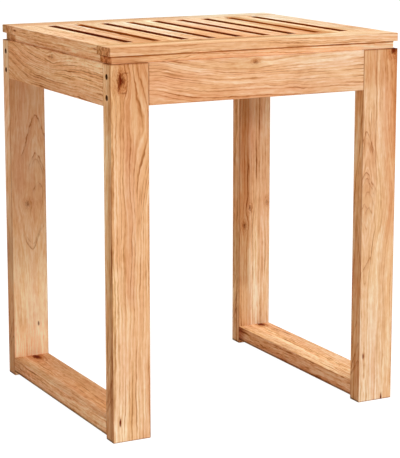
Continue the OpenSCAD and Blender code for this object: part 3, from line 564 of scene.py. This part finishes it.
def floor_material():
    """Pale seamless floor, bright to the lens and seen from above only."""
    g = Graph("floor_pale")
    tc = g.node("ShaderNodeTexCoord")
    grain = g.noise(tc.outputs["Object"], 3.0, 0.5, scale=35.0)
    bsdf = g.node("ShaderNodeBsdfPrincipled")
    g.feed(bsdf.inputs["Base Color"], g.mix(grain, (0.82, 0.77, 0.70), (0.86, 0.81, 0.74)))
    bsdf.inputs["Roughness"].default_value = 0.9
    bsdf.inputs["Specular IOR Level"].default_value = 0.1
    glow = g.node("ShaderNodeEmission")
    glow.inputs["Color"].default_value = (1.0, 1.0, 1.0, 1.0)
    glow.inputs["Strength"].default_value = 1.15
    see = g.node("ShaderNodeBsdfTransparent")
    path = g.node("ShaderNodeLightPath")
    geo = g.node("ShaderNodeNewGeometry")
    lit = g.node("ShaderNodeMixShader")
    g.feed(lit.inputs[0], g.mul(path.outputs["Is Camera Ray"], 0.93))
    g.tree.links.new(bsdf.outputs[0], lit.inputs[1])
    g.tree.links.new(glow.outputs[0], lit.inputs[2])
    one_side = g.node("ShaderNodeMixShader")
    g.tree.links.new(geo.outputs["Backfacing"], one_side.inputs[0])
    g.tree.links.new(lit.outputs[0], one_side.inputs[1])
    g.tree.links.new(see.outputs[0], one_side.inputs[2])
    out = g.node("ShaderNodeOutputMaterial")
    g.tree.links.new(one_side.outputs[0], out.inputs[0])
    return g.mat


# The floor is open under the feet and the lower rails, so that their undersides are lit when seen from below.
S = 30.0
gx = [-S, -0.1855, -0.1430, 0.1430, 0.1855, S]
gy = [-S, -0.1575, 0.1575, S]
quads = [(i, j) for j in range(3) for i in range(5) if not (i in (1, 3) and j == 1)]
mesh = bpy.data.meshes.new("floor")
mesh.from_pydata([(x, y, 0) for y in gy for x in gx], [],
                 [(j * 6 + i, j * 6 + i + 1, j * 6 + i + 7, j * 6 + i + 6) for i, j in quads])
floor = bpy.data.objects.new("floor", mesh)
scene.collection.objects.link(floor)
floor.data.materials.append(floor_material())
floor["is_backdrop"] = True

world = bpy.data.worlds.new("studio")
scene.world = world
world.use_nodes = True
wt = world.node_tree
wt.nodes.clear()
w_out = wt.nodes.new("ShaderNodeOutputWorld")
w_mix = wt.nodes.new("ShaderNodeMixShader")
w_path = wt.nodes.new("ShaderNodeLightPath")
w_light = wt.nodes.new("ShaderNodeBackground")
w_seen = wt.nodes.new("ShaderNodeBackground")
w_light.inputs["Color"].default_value = (1.0, 0.88, 0.74, 1.0)
w_light.inputs["Strength"].default_value = 0.42
w_seen.inputs["Color"].default_value = (1.0, 1.0, 1.0, 1.0)
w_seen.inputs["Strength"].default_value = 1.0
wt.links.new(w_path.outputs["Is Camera Ray"], w_mix.inputs[0])
wt.links.new(w_light.outputs[0], w_mix.inputs[1])
wt.links.new(w_seen.outputs[0], w_mix.inputs[2])
wt.links.new(w_mix.outputs[0], w_out.inputs[0])


def softbox(name, at, look, size, watts, colour=(1.0, 1.0, 1.0)):
    light = bpy.data.lights.new(name, "AREA")
    light.shape = "RECTANGLE"
    light.size, light.size_y = size
    light.energy = watts
    light.color = colour
    o = bpy.data.objects.new(name, light)
    scene.collection.objects.link(o)
    o.location = at
    o.rotation_mode = "QUATERNION"
    o.rotation_quaternion = (Vector(look) - Vector(at)).to_track_quat("-Z", "Y")
    o.visible_camera = False
    return o


softbox("softbox_top", (0.35, -0.6, 2.6), (0.0, 0.0, 0.4), (2.2, 2.2), 40.0, (0.90, 0.97, 1.0))
softbox("softbox_right", (2.0, -0.8, 2.1), (0.1, 0.0, 0.1), (1.5, 1.5), 34.0, (0.92, 0.98, 1.0))
softbox("softbox_front", (0.8, -3.0, 0.70), (0.0, 0.0, 0.25), (2.2, 1.2), 24.0, (0.86, 0.96, 1.0))
softbox("softbox_left", (-3.0, -0.7, 0.70), (0.0, 0.0, 0.25), (2.2, 1.2), 10.2, (1.0, 0.88, 0.74))

# The photograph's frame is 400 x 458 pixels; the lens is given in those pixels.
PX_F, PSI, PITCH, SHIFT_Y = 1724.66, 27.65, 10.49, -0.1
CAM_AT = Vector((-967.67, -1859.75, 646.65)) * MM
cam_data = bpy.data.cameras.new("camera")
cam = bpy.data.objects.new("camera", cam_data)
scene.collection.objects.link(cam)
cam_data.sensor_fit = "AUTO"
cam_data.sensor_width = 36.0
cam_data.lens = PX_F / 458.0 * 36.0
cam_data.shift_y = SHIFT_Y
cam_data.clip_start, cam_data.clip_end = 0.05, 100.0
psi, pitch = math.radians(PSI), math.radians(PITCH)
forward = Vector((math.sin(psi) * math.cos(pitch), math.cos(psi) * math.cos(pitch), -math.sin(pitch)))
cam.location = CAM_AT
cam.rotation_mode = "QUATERNION"
cam.rotation_quaternion = forward.to_track_quat("-Z", "Y")
scene.camera = cam

scene.view_settings.view_transform = "Standard"
scene.view_settings.look = "None"
scene.view_settings.exposure = 0.0
scene.view_settings.gamma = 1.0

lo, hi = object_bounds()
